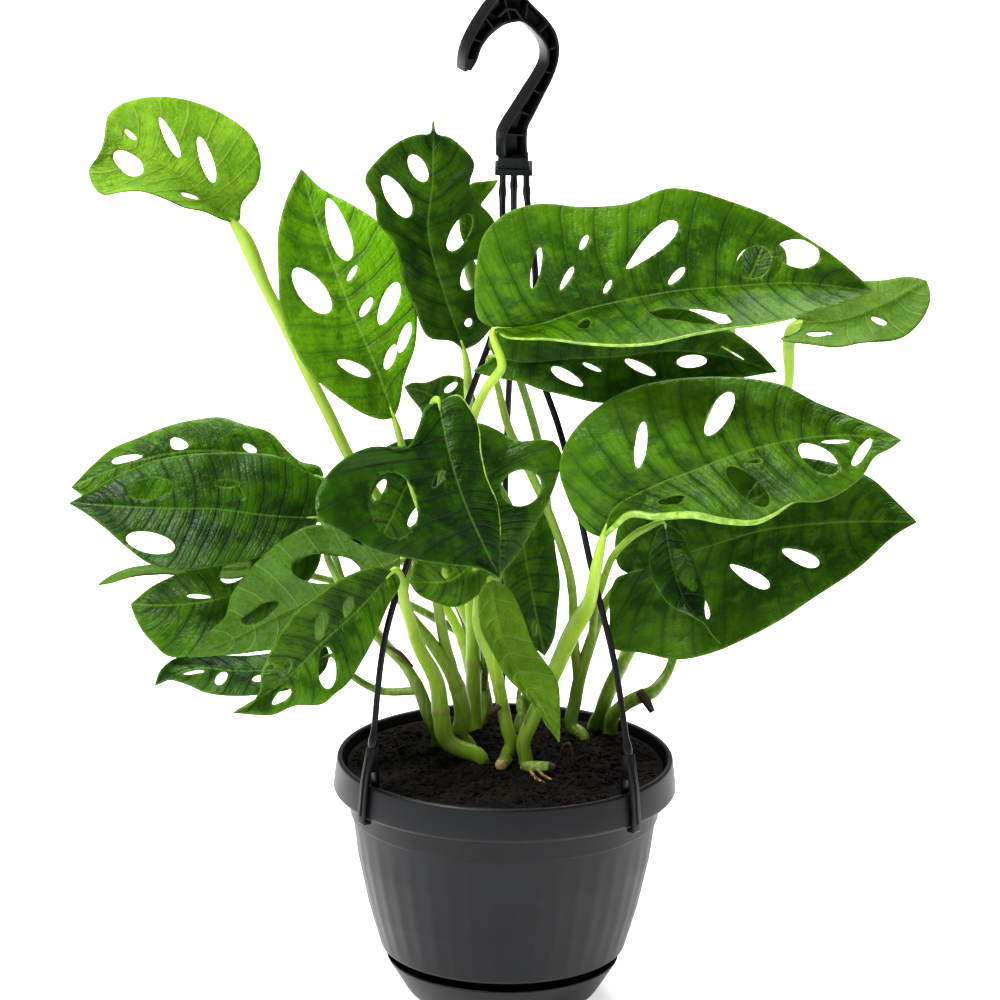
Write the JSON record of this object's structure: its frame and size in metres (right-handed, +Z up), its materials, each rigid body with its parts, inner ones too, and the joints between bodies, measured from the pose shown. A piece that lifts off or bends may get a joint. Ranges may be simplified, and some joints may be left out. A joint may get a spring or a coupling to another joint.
{
  "type": "potted trailing house plant in a hanging pot",
  "caption": "Bushy aroid house plant with holed leaves on long stalks, in a round plastic hanging pot with saucer, three rods and a hook.",
  "frame": {"origin": "centre of the saucer's underside, on the pot's axis", "axes": "+Z up along the pot's axis, -Y toward the front of the plant, +X to its right"},
  "size_m": [0.4278, 0.2021, 0.5125],
  "materials": {
    "pot": "satin anthracite plastic",
    "saucer": "satin anthracite plastic",
    "hanger": "satin anthracite plastic",
    "soil": "moist potting soil with fibres",
    "stem_green": "smooth living stem",
    "leaf_green": "satin living leaf",
    "leaf_pale": "pale young leaf"
  },
  "bodies": {
    "root": {"hook": "hanger", "leaf_back_centre": "leaf_green", "leaf_back_left": "leaf_green", "leaf_back_right": "leaf_green", "leaf_behind_centre": "leaf_green", "leaf_behind_right": "leaf_green", "leaf_bottom_hanging": "leaf_green", "leaf_broad_top_right": "leaf_green", "leaf_centre_front": "leaf_green", "leaf_centre_right": "leaf_green", "leaf_curly_hanging": "leaf_green", "leaf_curly_pale": "leaf_pale", "leaf_dark_top": "leaf_green", "leaf_edge_on_left": "leaf_green", "leaf_far_right": "leaf_green", "leaf_left_back": "leaf_green", "leaf_left_front": "leaf_green", "leaf_low_centre": "leaf_green", "leaf_low_left": "leaf_green", "leaf_low_left_dark": "leaf_green", "leaf_low_right": "leaf_green", "leaf_middle_right": "leaf_green", "leaf_pale_top_left": "leaf_pale", "leaf_small_back": "leaf_green", "leaf_tip_behind_top": "leaf_green", "leaf_under_broad": "leaf_green", "leaf_upright_left": "leaf_green", "leaf_young_hanging": "leaf_green", "pot": "pot", "rod_back": "hanger", "rod_left": "hanger", "rod_right": "hanger", "saucer": "saucer", "shoot_back": "stem_green", "shoot_back_left": "stem_green", "shoot_back_right": "stem_green", "shoot_centre": "stem_green", "shoot_far_back": "stem_green", "shoot_far_left": "stem_green", "shoot_front_left": "stem_green", "shoot_left": "stem_green", "shoot_low_right": "stem_green", "shoot_middle_right": "stem_green", "shoot_right": "stem_green", "soil": "soil"}
  },
  "joints": []
}
